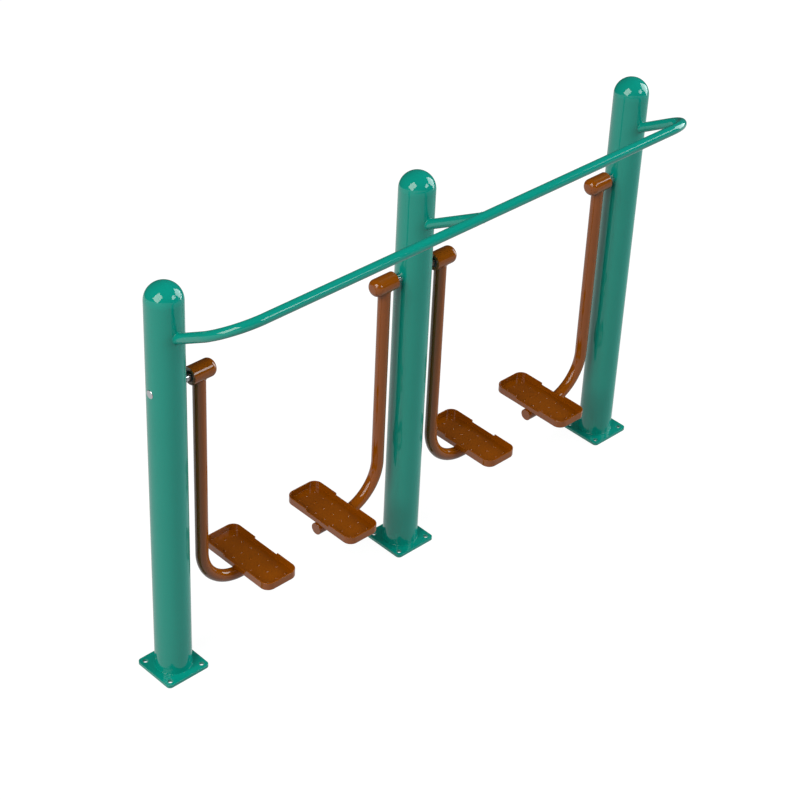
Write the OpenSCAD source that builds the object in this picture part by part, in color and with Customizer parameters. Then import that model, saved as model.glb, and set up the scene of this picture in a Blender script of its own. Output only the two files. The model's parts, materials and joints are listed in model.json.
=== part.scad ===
// Outdoor air walker with two stations: three posts, a forward handrail and four swinging foot legs

/* [Posts] */
// Outside diameter of a post
post_d = 127; // [114:1:140]
// Wall of a post tube
post_wall = 3.2; // [2.5:0.1:5]
// Height of a post, from the ground to the top of its dome
post_h = 1533; // [1480:1:1650]
// Distance between the axes of neighbouring posts
post_spacing = 1056; // [1000:1:1200]
// Wall of the dome that closes a post
dome_wall = 3; // [2:0.1:5]
// Depth of the rim of the dome inside the post
dome_rim = 18; // [8:1:40]

/* [Base plates] */
// Side of the square base plate
plate_side = 176; // [170:1:220]
// Thickness of the base plate
plate_t = 12; // [8:1:20]
// Corner radius of the base plate
plate_corner_r = 15; // [6:1:24]
// Distance between neighbouring anchor holes
anchor_spacing = 134.5; // [130:0.5:142]
// Diameter of an anchor hole
anchor_hole_d = 18; // [12:0.5:20]

/* [Handrail] */
// Outside diameter of the handrail tube
rail_d = 35; // [30:0.5:42]
// Wall of the handrail tube
rail_wall = 2.5; // [2:0.1:4]
// Angle at which the handrail rises away from the posts
rail_angle = 29.5; // [15:0.5:40]
// Horizontal distance from the post axes to the handrail
rail_reach = 305; // [260:1:380]
// Height at which the handrail axis meets the post axes
rail_root_z = 1326; // [1280:1:1380]
// Bend radius of the handrail, to the tube axis
rail_bend_r = 138; // [80:1:160]

/* [Axles] */
// Height of the axles above the ground
axle_z = 1151; // [1100:1:1180]
// Diameter of an axle where it crosses the post
axle_d = 30; // [28:0.5:32]
// Diameter of an axle at its bearings
journal_d = 25; // [22:0.5:26]
// Diameter of the threaded end of an axle
thread_d = 20; // [16:1:21]
// How far the plain end of an outer axle stands out of the post
axle_proud = 1.5; // [0.5:0.5:5]
// Length of thread that shows beyond the nut
thread_show = 4; // [1:0.5:6]
// Edge chamfer of an axle
axle_chamfer = 1; // [0.5:0.1:1.5]

/* [Nuts and washers] */
// Width of an axle nut across its flats
nut_af = 30; // [26:0.5:36]
// Thickness of an axle nut
nut_t = 9; // [6:0.5:10]
// Outside diameter of an axle washer
washer_d = 33; // [30:0.5:36]
// Thickness of an axle washer
washer_t = 3; // [2:0.5:4]

/* [Bearings] */
// Outside diameter of a ball bearing
bearing_d = 52; // [50:0.5:54]
// Width of a ball bearing
bearing_w = 15; // [13:0.5:17]
// Diameter of a bearing ball
ball_d = 7.9; // [7:0.1:8.4]
// Number of balls in a bearing
ball_count = 9; // [6:1:9]
// Thickness of a bearing ring beside its race
ring_t = 4.2; // [3.5:0.1:4.6]

/* [Hubs] */
// Outside diameter of a hub
hub_d = 63.5; // [62:0.5:70]
// Length of the hub tube
hub_len = 75; // [72:1:82]
// Gap between the post and the hub
hub_gap = 27.5; // [20:0.5:34]
// Shoulder radius of the hub cap
cap_shoulder_r = 21.8; // [20:0.1:24]
// Wall of the hub cap
cap_wall = 3.5; // [2.5:0.1:4.5]
// Depth of the hub cap inside the hub
cap_spigot = 8; // [5:0.5:9]
// Thickness of the seal at the open end of the hub
seal_t = 3; // [2:0.1:3.2]
// Depth of the seat for the seal
seal_seat = 4; // [3.6:0.1:6]
// Bore of the hub between its bearings
land_d = 45; // [43:0.5:48]

/* [Swing stop] */
// Swing of a leg to each side
swing_angle = 60; // [40:1:65]
// Half angle of the fixed stop lug
fixed_lug_half = 60; // [30:1:65]
// Angle left between the lugs at the end of the swing
lug_gap_angle = 1; // [0.5:0.5:3]
// Length of the stop lugs along the axle
lug_len = 20; // [12:1:24]
// Outside diameter of the sleeve that carries the fixed lug
sleeve_d = 33; // [31:0.5:34]
// Height of the fixed lug above its sleeve
lug_h = 4.2; // [3:0.1:4.8]

/* [Legs] */
// Outside diameter of a leg tube
leg_d = 44.5; // [40:0.5:48]
// Wall of a leg tube
leg_wall = 3; // [2:0.1:5]
// Distance from the open end of the hub to the axis of the leg
leg_inset = 39.7; // [34:0.1:44]
// Bend radius of a leg, to the tube axis
leg_bend_r = 165; // [120:1:172]
// How far the plugged end of a leg stands out beyond the pedal
leg_end_out = 5; // [2:0.5:15]
// Thickness of the flange of a leg plug
plug_flange = 4; // [2:0.5:6]
// Edge radius of a leg plug
plug_edge_r = 1.5; // [0.5:0.1:2]
// Length of a leg plug inside the tube
plug_spigot = 15; // [8:1:30]

/* [Pedals] */
// Distance between the middles of the two pedals of one station
foot_spacing = 375; // [340:1:420]
// Height of the underside of a pedal above the ground
pedal_z = 276.5; // [240:0.5:330]
// Length of a pedal
pedal_len = 340; // [320:1:380]
// Width of a pedal
pedal_w = 143; // [130:1:160]
// Height of the rim of a pedal
pedal_h = 30; // [24:0.5:45]
// Corner radius of a pedal
pedal_corner_r = 33; // [20:0.5:40]
// Wall of a pedal
pedal_wall = 4; // [3:0.1:6]
// Thickness of the floor of a pedal
pedal_floor = 5; // [5:0.1:8]
// Outside radius along the bottom edge of a pedal
pedal_edge_r = 4; // [2:0.1:6]
// Inside radius between the floor and the walls of a pedal
pedal_inner_r = 3; // [1:0.1:5]
// Length of the lowered part of each long wall
lowered_len = 117; // [80:1:160]
// Depth of the lowered part of each long wall
lowered_h = 9; // [4:0.5:14]
// How deep the leg sits in the underside of the pedal
leg_sink = 1.4; // [0.8:0.1:1.6]

/* [Studs] */
// Number of studs along a pedal
studs_long = 7; // [3:1:7]
// Number of studs across a pedal
studs_wide = 3; // [2:1:3]
// Distance between studs along a pedal
stud_pitch_long = 45; // [30:1:46]
// Distance between studs across a pedal
stud_pitch_wide = 39; // [25:1:42]
// Diameter of a stud at its foot
stud_d = 9; // [6:0.5:12]
// Diameter of a stud at its top
stud_top_d = 6; // [4:0.5:6]
// Height of a stud
stud_h = 2.2; // [1:0.1:4]

/* [Fits] */
// Clearance between welded surfaces that are not flat
weld_gap = 0.15; // [0.1:0.05:0.3]
// Radial clearance of a seated ring, sleeve or rim
seat_fit = 0.03; // [0.01:0.01:0.08]
// Radial clearance between a ball and its races
ball_fit = 0.03; // [0.01:0.01:0.06]
// Radial clearance of a part that turns past another
run_fit = 0.4; // [0.2:0.05:0.6]

/* [Hidden] */
$fn = 64;

// One overrun for every cut
over = 2;
right_turn = 90;
half_turn = 180;
full_turn = 360;

// Colours of the finishes
teal = "#18907c";
brown = "#7a4420";
steel = "#c4c8ca";
dark_steel = "#6c7074";
rubber = "#1c1c1e";

// Place of the post that carries each leg, in post spacings, and the side on which the leg hangs
LEG_POST = [-1, 0, 0, 1];
LEG_SIDE = [1, -1, 1, -1];

// Posts
post_r = post_d / 2;
post_tube_top = post_h - post_r;
// The rim of a dome runs this far up inside it, as a share of the dome's radius, to join its wall
dome_rim_rise_share = 0.25;

// Handrail, measured in its own tilted plane
rail_run = rail_reach / cos(rail_angle);
rail_stub = rail_run - rail_bend_r;
rail_bore = rail_d - 2 * rail_wall;
rail_cut_h = post_h;

// Stations along an axle, measured from the axis of its post
hub_x0 = post_r + hub_gap;
hub_x1 = hub_x0 + hub_len;
bearing_x1 = hub_x0 + seal_seat;
bearing_x2 = hub_x1 - cap_spigot - bearing_w;
land_x0 = bearing_x1 + bearing_w;
land_x1 = bearing_x2;
land_len = land_x1 - land_x0;
lug_x0 = (land_x0 + land_x1 - lug_len) / 2;
washer_x = bearing_x2 + bearing_w;
nut_x = washer_x + washer_t;
axle_end_x = nut_x + nut_t + thread_show;
// The journal stops short of the washer, so that the nut clamps the rings
journal_short = 0.3;

// Bearings
pitch_r = (journal_d + bearing_d) / 4;
race_r = ball_d / 2 + ball_fit;
ring_inner_r = journal_d / 2 + seat_fit;
ring_outer_r = bearing_d / 2;
shield_t = 1;

// Swing stop
moving_lug_half = half_turn - swing_angle - fixed_lug_half - lug_gap_angle;
fixed_lug_r = sleeve_d / 2 + lug_h;
moving_lug_r = sleeve_d / 2 + run_fit;
sleeve_ease = 0.1;

// Nuts
nut_sides = 6;

// Hub cap
cap_flat_r = hub_d / 2 - cap_shoulder_r;
cap_spigot_r = bearing_d / 2 - seat_fit;
// The rim of the cap stops just short of the outer ring
spigot_short = 0.3;

// Legs and pedals
pedal_x = (post_spacing - foot_spacing) / 2;
leg_x = hub_x0 + leg_inset;
leg_low_z = pedal_z + leg_sink - leg_d / 2;
leg_bore = leg_d - 2 * leg_wall;
leg_end_x = pedal_x + pedal_w / 2 + leg_end_out;
leg_tube_end_x = leg_end_x - plug_flange;
stud_root = 1;

// A shape of revolution drawn along Z is laid along the axle, away from the post
module along_axle(x) {
    translate([x, 0, axle_z])
        rotate([0, right_turn, 0])
            children();
}

// A ring along Z
module ring(h, r_out, r_in) {
    difference() {
        cylinder(h = h, r = r_out);
        translate([0, 0, -over])
            cylinder(h = h + 2 * over, r = r_in);
    }
}

// A rectangle with round corners
module round_rectangle(l, w, r) {
    square([l - 2 * r, w], center = true);
    square([l, w - 2 * r], center = true);
    for (x = [-1, 1], y = [-1, 1])
        translate([x * (l / 2 - r), y * (w / 2 - r)])
            circle(r = r);
}

// A quarter turn of round bar in the XY plane, from pointing down Y to pointing along X
module quarter_bend(bend_r, d) {
    translate([bend_r, 0, 0])
        rotate([0, 0, half_turn])
            rotate_extrude(angle = right_turn, $fn = 128)
                translate([bend_r, 0])
                    circle(d = d);
}

module at_post(place) {
    translate([place * post_spacing, 0, 0])
        children();
}

// The children hang on the leg's own side of its post
module at_leg(n) {
    at_post(LEG_POST[n - 1])
        mirror([LEG_SIDE[n - 1] < 0 ? 1 : 0, 0, 0])
            children();
}

module base_plate(place) {
    color(teal)
        at_post(place)
            difference() {
                linear_extrude(height = plate_t)
                    round_rectangle(plate_side, plate_side, plate_corner_r);
                for (x = [-1, 1], y = [-1, 1])
                    translate([x * anchor_spacing / 2, y * anchor_spacing / 2, -over])
                        cylinder(h = plate_t + 2 * over, d = anchor_hole_d);
            }
}

// The tube is drilled for the axle, right through or in both walls
module post(place) {
    color(teal)
        at_post(place)
            difference() {
                translate([0, 0, plate_t])
                    ring(post_tube_top - plate_t, post_r, post_r - post_wall);
                translate([-post_d, 0, axle_z])
                    rotate([0, right_turn, 0])
                        cylinder(h = 2 * post_d, r = axle_d / 2 + seat_fit);
            }
}

// A hollow half ball with a rim that seats inside the post
module post_dome(place) {
    rim_r = post_r - post_wall - seat_fit;
    rim_rise = post_r * dome_rim_rise_share;
    color(teal)
        at_post(place)
            translate([0, 0, post_tube_top]) {
                difference() {
                    sphere(r = post_r, $fn = 96);
                    sphere(r = post_r - dome_wall, $fn = 96);
                    translate([0, 0, -post_d])
                        cylinder(h = post_d, r = post_d);
                }
                translate([0, 0, -dome_rim])
                    ring(dome_rim + rim_rise, rim_r, rim_r - dome_wall);
            }
}

// The plane of the handrail leans back on the posts and rises forwards
module rail_plane() {
    translate([0, 0, rail_root_z])
        rotate([-rail_angle, 0, 0])
            children();
}

// One end of the handrail, from the post axis round its bend
module rail_end(d) {
    translate([-post_spacing, 0, 0]) {
        rotate([right_turn, 0, 0])
            cylinder(h = rail_stub, d = d);
        translate([0, -rail_stub, 0])
            quarter_bend(rail_bend_r, d);
    }
}

module rail_bar(d) {
    rail_end(d);
    mirror([1, 0, 0])
        rail_end(d);
    translate([rail_bend_r - post_spacing, -rail_run, 0])
        rotate([0, right_turn, 0])
            cylinder(h = 2 * (post_spacing - rail_bend_r), d = d);
}

// What the ends of the handrail are coped to
module post_cope(place) {
    at_post(place)
        cylinder(h = rail_cut_h, r = post_r + weld_gap);
}

module handrail() {
    color(teal)
        difference() {
            rail_plane()
                difference() {
                    rail_bar(rail_d);
                    rail_bar(rail_bore);
                }
            post_cope(-1);
            post_cope(1);
        }
}

// A straight tube from the middle post, coped to the post and to the handrail
module handrail_strut() {
    color(teal)
        difference() {
            rail_plane()
                difference() {
                    rotate([right_turn, 0, 0])
                        cylinder(h = rail_run, d = rail_d);
                    translate([0, over, 0])
                        rotate([right_turn, 0, 0])
                            cylinder(h = rail_run + 2 * over, d = rail_bore);
                    translate([-rail_d, -rail_run, 0])
                        rotate([0, right_turn, 0])
                            cylinder(h = 2 * rail_d, r = rail_d / 2 + weld_gap);
                }
            post_cope(0);
        }
}

// The journal, thread and chamfered tip that carry one hub, seen from the post axis outwards
module axle_arm() {
    tip = axle_end_x - axle_chamfer;
    along_axle(0)
        cylinder(h = bearing_x1, d = axle_d);
    along_axle(0)
        cylinder(h = washer_x - journal_short, d = journal_d);
    along_axle(0)
        cylinder(h = tip, d = thread_d);
    along_axle(tip)
        cylinder(h = axle_chamfer, d1 = thread_d, d2 = thread_d - 2 * axle_chamfer);
}

// The plain end of an outer axle, just proud of the far side of its post
module axle_tail() {
    body = post_r + axle_proud - axle_chamfer;
    mirror([1, 0, 0]) {
        along_axle(0)
            cylinder(h = body, d = axle_d);
        along_axle(body)
            cylinder(h = axle_chamfer, d1 = axle_d, d2 = axle_d - 2 * axle_chamfer);
    }
}

module left_axle() {
    color(steel)
        at_post(-1) {
            axle_arm();
            axle_tail();
        }
}

module middle_axle() {
    color(steel) {
        axle_arm();
        mirror([1, 0, 0])
            axle_arm();
    }
}

module right_axle() {
    color(steel)
        at_post(1)
            mirror([1, 0, 0]) {
                axle_arm();
                axle_tail();
            }
}

// The groove in which the balls run
module race() {
    translate([0, 0, bearing_w / 2])
        rotate_extrude($fn = 128)
            translate([pitch_r, 0])
                circle(r = race_r);
}

module at_bearings() {
    for (x = [bearing_x1, bearing_x2])
        along_axle(x)
            children();
}

module bearing_inner_rings(n) {
    color(dark_steel)
        at_leg(n)
            at_bearings()
                difference() {
                    ring(bearing_w, ring_inner_r + ring_t, ring_inner_r);
                    race();
                }
}

// Each outer ring carries a thin shield on both faces
module bearing_outer_rings(n) {
    shield_in = ring_inner_r + ring_t + run_fit;
    seat_r = ring_outer_r - seat_fit;
    color(dark_steel)
        at_leg(n)
            at_bearings() {
                difference() {
                    ring(bearing_w, seat_r, ring_outer_r - ring_t);
                    race();
                }
                for (z = [0, bearing_w - shield_t])
                    translate([0, 0, z])
                        ring(shield_t, seat_r - ring_t / 2, shield_in);
            }
}

module bearing_balls(n) {
    color(steel)
        at_leg(n)
            at_bearings()
                for (i = [0:ball_count - 1])
                    rotate([0, 0, i * full_turn / ball_count])
                        translate([pitch_r, 0, bearing_w / 2])
                            sphere(d = ball_d, $fn = 32);
}

// A sector of a ring whose middle points down, or up when turned round
module sector(h, r_out, r_in, half) {
    rotate([0, 0, -half])
        rotate_extrude(angle = 2 * half)
            translate([r_in, 0])
                square([r_out - r_in, h]);
}

// It keeps the inner rings apart, and its lug stops the leg at both ends of the swing
module stop_sleeve(n) {
    color(dark_steel)
        at_leg(n) {
            along_axle(land_x0 + sleeve_ease)
                ring(land_len - 2 * sleeve_ease, sleeve_d / 2, ring_inner_r);
            along_axle(lug_x0)
                rotate([0, 0, half_turn])
                    sector(lug_len, fixed_lug_r, (sleeve_d / 2 + ring_inner_r) / 2, fixed_lug_half);
        }
}

module axle_washers() {
    color(steel)
        for (n = [1:4])
            at_leg(n)
                along_axle(washer_x)
                    ring(washer_t, washer_d / 2, thread_d / 2 + seat_fit);
}

module axle_nuts() {
    color(steel)
        for (n = [1:4])
            at_leg(n)
                along_axle(nut_x)
                    difference() {
                        cylinder(h = nut_t, d = nut_af / cos(half_turn / nut_sides), $fn = nut_sides);
                        translate([0, 0, -over])
                            cylinder(h = nut_t + 2 * over, r = thread_d / 2 + seat_fit);
                    }
}

// A tube bored from both ends for its bearings, with the moving stop lug between them
module hub(n) {
    color(brown)
        at_leg(n) {
            difference() {
                along_axle(hub_x0)
                    cylinder(h = hub_len, d = hub_d);
                along_axle(hub_x0 - over)
                    cylinder(h = hub_len + 2 * over, d = land_d);
                along_axle(hub_x0 - over)
                    cylinder(h = land_x0 - hub_x0 + over, d = bearing_d);
                along_axle(land_x1)
                    cylinder(h = hub_x1 - land_x1 + over, d = bearing_d);
            }
            along_axle(lug_x0)
                sector(lug_len, (hub_d + land_d) / 4, moving_lug_r, moving_lug_half);
        }
}

// Half of the section of the cap: a flat end with a round shoulder
module cap_outline(shoulder, flat) {
    intersection() {
        union() {
            square([flat, shoulder]);
            translate([flat, 0])
                circle(r = shoulder, $fn = 96);
        }
        square([flat + shoulder, shoulder]);
    }
}

// A pressed end with a round shoulder, and a rim that holds the outer bearing in place
module hub_cap(n) {
    inner_shoulder = cap_shoulder_r - cap_wall;
    color(brown)
        at_leg(n) {
            along_axle(hub_x1)
                rotate_extrude($fn = 96)
                    difference() {
                        cap_outline(cap_shoulder_r, cap_flat_r);
                        cap_outline(inner_shoulder, cap_flat_r);
                    }
            along_axle(hub_x1)
                ring(cap_wall, (hub_d - cap_wall) / 2, cap_spigot_r - cap_wall);
            along_axle(hub_x1 - cap_spigot + spigot_short)
                ring(cap_spigot - spigot_short + cap_wall, cap_spigot_r, cap_spigot_r - cap_wall);
        }
}

module hub_seal(n) {
    color(rubber)
        at_leg(n)
            along_axle(hub_x0 + (seal_seat - seal_t) / 2)
                ring(seal_t, bearing_d / 2 - seat_fit, axle_d / 2 + run_fit);
}

// A leg as a bent round bar: down from the hub, round its bend and out under the pedal
module leg_bar(d, past) {
    bend_z = leg_low_z + leg_bend_r;
    translate([leg_x, 0, bend_z])
        cylinder(h = axle_z - bend_z, d = d);
    translate([leg_x, 0, bend_z])
        rotate([right_turn, 0, 0])
            quarter_bend(leg_bend_r, d);
    translate([leg_x + leg_bend_r, 0, leg_low_z])
        rotate([0, right_turn, 0])
            cylinder(h = leg_tube_end_x + past - leg_x - leg_bend_r, d = d);
}

module leg_tube(n) {
    color(brown)
        at_leg(n)
            difference() {
                leg_bar(leg_d, 0);
                leg_bar(leg_bore, over);
                along_axle(hub_x0 - over)
                    cylinder(h = hub_len + 2 * over, r = hub_d / 2 + weld_gap);
            }
}

// A flange with a round edge that covers the end of the tube, and a hollow spigot inside it
module leg_plug(n) {
    flat_r = leg_d / 2 - plug_edge_r;
    spigot_r = leg_bore / 2 - seat_fit;
    color(brown)
        at_leg(n)
            translate([leg_tube_end_x, 0, leg_low_z])
                rotate([0, right_turn, 0]) {
                    cylinder(h = plug_flange - plug_edge_r, d = leg_d);
                    rotate_extrude()
                        translate([0, plug_flange - plug_edge_r]) {
                            square([flat_r, plug_edge_r]);
                            intersection() {
                                translate([flat_r, 0])
                                    circle(r = plug_edge_r);
                                square([leg_d, plug_edge_r]);
                            }
                        }
                    translate([0, 0, -plug_spigot])
                        ring(plug_spigot + plug_flange / 2, spigot_r, spigot_r - leg_wall);
                }
}

// Section through the wall of a pedal, from its outer face inwards as far as its corner radius
module wall_section() {
    difference() {
        union() {
            translate([0, pedal_edge_r])
                square([pedal_corner_r, pedal_h - pedal_edge_r]);
            translate([pedal_edge_r, 0])
                square([pedal_corner_r - pedal_edge_r, pedal_edge_r]);
            translate([pedal_edge_r, pedal_edge_r])
                circle(r = pedal_edge_r);
        }
        translate([pedal_wall + pedal_inner_r, pedal_floor])
            square([pedal_corner_r, pedal_h]);
        translate([pedal_wall, pedal_floor + pedal_inner_r])
            square([pedal_corner_r, pedal_h]);
        translate([pedal_wall + pedal_inner_r, pedal_floor + pedal_inner_r])
            circle(r = pedal_inner_r);
    }
}

// A straight stretch of wall along Y, with its outer face at X = 0
module wall_run(len) {
    translate([0, len / 2, 0])
        rotate([right_turn, 0, 0])
            linear_extrude(height = len)
                wall_section();
}

// A round corner of wall about the Z axis, whose section ends at that axis
module wall_corner() {
    rotate_extrude(angle = right_turn)
        intersection() {
            translate([pedal_corner_r, 0])
                mirror([1, 0])
                    wall_section();
            square([pedal_corner_r, pedal_h]);
        }
}

// A tray: floor, four walls and four round corners, all from the one wall section
module tray() {
    side_x = pedal_w / 2;
    side_y = pedal_len / 2;
    inner_w = pedal_w - 2 * pedal_corner_r;
    inner_len = pedal_len - 2 * pedal_corner_r;
    translate([-inner_w / 2, -inner_len / 2, 0])
        cube([inner_w, inner_len, pedal_floor]);
    for (turn = [0, 1]) {
        rotate([0, 0, turn * half_turn]) {
            translate([-side_x, 0, 0])
                wall_run(inner_len);
            translate([0, side_y, 0])
                rotate([0, 0, -right_turn])
                    wall_run(inner_w);
            translate([inner_w / 2, inner_len / 2, 0])
                wall_corner();
            translate([-inner_w / 2, inner_len / 2, 0])
                rotate([0, 0, right_turn])
                    wall_corner();
        }
    }
}

module stud() {
    translate([0, 0, pedal_floor - stud_root])
        cylinder(h = stud_root, d = stud_d);
    translate([0, 0, pedal_floor])
        cylinder(h = stud_h, d1 = stud_d, d2 = stud_top_d, $fn = 32);
}

// A tray with studs on its floor and lowered long walls, seated on the leg
module pedal(n) {
    first_x = -(studs_wide - 1) * stud_pitch_wide / 2;
    first_y = -(studs_long - 1) * stud_pitch_long / 2;
    color(brown)
        at_leg(n)
            difference() {
                translate([pedal_x, 0, pedal_z]) {
                    difference() {
                        tray();
                        translate([-pedal_w, -lowered_len / 2, pedal_h - lowered_h])
                            cube([2 * pedal_w, lowered_len, pedal_h]);
                    }
                    for (i = [0:studs_wide - 1], j = [0:studs_long - 1])
                        translate([first_x + i * stud_pitch_wide, first_y + j * stud_pitch_long, 0])
                            stud();
                }
                leg_bar(leg_d + 2 * weld_gap, plug_flange + over);
            }
}

base_plate(-1);  // left_base_plate
base_plate(0);  // middle_base_plate
base_plate(1);  // right_base_plate
post(-1);  // left_post
post(0);  // middle_post
post(1);  // right_post
post_dome(-1);  // left_post_dome
post_dome(0);  // middle_post_dome
post_dome(1);  // right_post_dome
handrail();
handrail_strut();
left_axle();
middle_axle();
right_axle();
bearing_inner_rings(1);  // bearing_inner_rings_1
bearing_inner_rings(2);  // bearing_inner_rings_2
bearing_inner_rings(3);  // bearing_inner_rings_3
bearing_inner_rings(4);  // bearing_inner_rings_4
stop_sleeve(1);  // stop_sleeve_1
stop_sleeve(2);  // stop_sleeve_2
stop_sleeve(3);  // stop_sleeve_3
stop_sleeve(4);  // stop_sleeve_4
axle_washers();
axle_nuts();
hub(1);  // hub_1
hub(2);  // hub_2
hub(3);  // hub_3
hub(4);  // hub_4
hub_cap(1);  // hub_cap_1
hub_cap(2);  // hub_cap_2
hub_cap(3);  // hub_cap_3
hub_cap(4);  // hub_cap_4
hub_seal(1);  // hub_seal_1
hub_seal(2);  // hub_seal_2
hub_seal(3);  // hub_seal_3
hub_seal(4);  // hub_seal_4
bearing_outer_rings(1);  // bearing_outer_rings_1
bearing_outer_rings(2);  // bearing_outer_rings_2
bearing_outer_rings(3);  // bearing_outer_rings_3
bearing_outer_rings(4);  // bearing_outer_rings_4
bearing_balls(1);  // bearing_balls_1
bearing_balls(2);  // bearing_balls_2
bearing_balls(3);  // bearing_balls_3
bearing_balls(4);  // bearing_balls_4
leg_tube(1);  // leg_tube_1
leg_tube(2);  // leg_tube_2
leg_tube(3);  // leg_tube_3
leg_tube(4);  // leg_tube_4
leg_plug(1);  // leg_plug_1
leg_plug(2);  // leg_plug_2
leg_plug(3);  // leg_plug_3
leg_plug(4);  // leg_plug_4
pedal(1);  // pedal_1
pedal(2);  // pedal_2
pedal(3);  // pedal_3
pedal(4);  // pedal_4
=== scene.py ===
import json
import math
from typing import NamedTuple

import bmesh
import bpy
from mathutils import Matrix, Vector


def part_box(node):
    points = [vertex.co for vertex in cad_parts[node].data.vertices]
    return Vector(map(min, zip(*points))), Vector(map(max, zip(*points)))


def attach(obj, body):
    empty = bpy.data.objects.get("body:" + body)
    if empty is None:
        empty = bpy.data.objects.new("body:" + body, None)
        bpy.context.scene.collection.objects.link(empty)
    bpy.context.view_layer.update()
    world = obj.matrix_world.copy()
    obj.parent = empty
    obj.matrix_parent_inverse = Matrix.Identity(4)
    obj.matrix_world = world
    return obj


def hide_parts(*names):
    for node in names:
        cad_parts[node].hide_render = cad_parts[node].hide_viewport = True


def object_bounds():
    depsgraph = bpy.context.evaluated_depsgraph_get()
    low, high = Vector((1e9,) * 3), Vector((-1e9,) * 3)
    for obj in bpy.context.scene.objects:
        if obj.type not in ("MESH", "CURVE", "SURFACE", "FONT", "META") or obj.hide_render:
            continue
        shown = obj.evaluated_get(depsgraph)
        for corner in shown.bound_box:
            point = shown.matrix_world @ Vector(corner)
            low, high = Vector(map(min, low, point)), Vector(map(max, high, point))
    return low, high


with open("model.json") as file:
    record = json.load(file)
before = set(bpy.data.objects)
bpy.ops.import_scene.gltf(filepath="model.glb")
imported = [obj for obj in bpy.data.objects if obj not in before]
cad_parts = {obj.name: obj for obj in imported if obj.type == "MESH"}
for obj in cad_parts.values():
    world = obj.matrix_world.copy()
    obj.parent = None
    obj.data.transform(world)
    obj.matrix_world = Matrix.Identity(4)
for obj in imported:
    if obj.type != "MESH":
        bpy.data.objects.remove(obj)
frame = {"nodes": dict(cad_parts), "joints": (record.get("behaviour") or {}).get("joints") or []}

CAD_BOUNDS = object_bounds()

bl_info = {
    "name": "Outdoor air walker",
    "version": (1, 0, 0),
    "blender": (4, 5, 0),
    "location": "3D View > Sidebar > Air walker",
    "description": "Dresses the packed air walker: painted tubes, axles, studded trays and weld beads",
    "category": "Object",
}

POSTS = ("left", "middle", "right")
LEGS = (1, 2, 3, 4)
ACROSS = Vector((1, 0, 0))
UP = Vector((0, 0, 1))
FULL_TURN = 2 * math.pi
QUARTER_TURN = math.pi / 2
TURNED_SIDES = 128
ARC_STEP = math.radians(3.75)
SHARP_ANGLE = math.radians(32)
BEAD_STEPS = 96
WHITE = (1, 1, 1, 1)
# Points closer than this are one point
TINY = 1e-6


def length(name, description, default):
    """A length that a user may change, in metres."""
    return bpy.props.FloatProperty(
        name=name, description=description, default=default, min=0.0, precision=5,
        subtype="DISTANCE")


def amount(name, description, default, low=0.0, high=1.0):
    """A plain number that a user may change."""
    return bpy.props.FloatProperty(
        name=name, description=description, default=default, min=low, max=high, precision=4)


def turn(name, description, degrees):
    """An angle that a user may change, given in degrees."""
    return bpy.props.FloatProperty(
        name=name, description=description, default=math.radians(degrees), subtype="ANGLE")


def count(name, description, default):
    """A whole number that a user may change."""
    return bpy.props.IntProperty(name=name, description=description, default=default, min=1)


def tint(name, description, default):
    """A colour that a user may change, in linear values."""
    return bpy.props.FloatVectorProperty(
        name=name, description=description, default=default, size=3, min=0.0, max=1.0,
        subtype="COLOR")


class PlateSizes(bpy.types.PropertyGroup):
    """Sizes of the base plates."""

    corner_radius: length("Corner radius", "Radius of a plate's corners, seen from above", 0.015)
    edge_radius: length("Edge radius", "Softness of a plate's upper and lower edges", 0.0008)
    hole_spacing: length("Hole spacing", "Distance between neighbouring anchor holes", 0.1345)
    hole_radius: length("Hole radius", "Radius of an anchor hole", 0.009)
    hole_edge: length("Hole edge", "Softness of an anchor hole's edges", 0.0005)
    hole_sides: count("Hole sides", "Sides of an anchor hole", 48)


class PostSizes(bpy.types.PropertyGroup):
    """Sizes of the posts and of the domes that close them."""

    wall: length("Wall", "Wall of a post", 0.0032)
    axle_fit: length("Axle fit", "Clearance round the axle where it crosses a post", 0.00003)
    rim_fit: length("Rim fit", "Clearance round a dome's rim inside its post", 0.00003)
    rim_wall: length("Rim wall", "Wall of a dome and of its rim", 0.003)


class RailSizes(bpy.types.PropertyGroup):
    """Sizes of the handrail and of its middle strut."""

    radius: length("Radius", "Outside radius of the handrail", 0.0175)
    wall: length("Wall", "Wall of the handrail", 0.0025)
    slope: turn("Slope", "Angle at which the handrail rises away from the posts", 29.5)
    reach: length("Reach", "Distance from the posts to the handrail, seen from above", 0.305)
    root_height: length("Root height", "Height at which the handrail's axis meets the posts' axes", 1.326)
    bend_radius: length("Bend radius", "Radius of the handrail's bends, to its axis", 0.138)


class AxleSizes(bpy.types.PropertyGroup):
    """Sizes of the axles."""

    radius: length("Radius", "Radius of an axle where it crosses the post", 0.015)
    journal_radius: length("Journal radius", "Radius of an axle under its bearings", 0.0125)
    thread_radius: length("Thread radius", "Radius of an axle's threaded end", 0.010)
    chamfer: length("Chamfer", "Chamfer of an axle's ends", 0.001)
    edge_radius: length("Edge radius", "Softness of an axle's edges", 0.0002)


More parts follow.
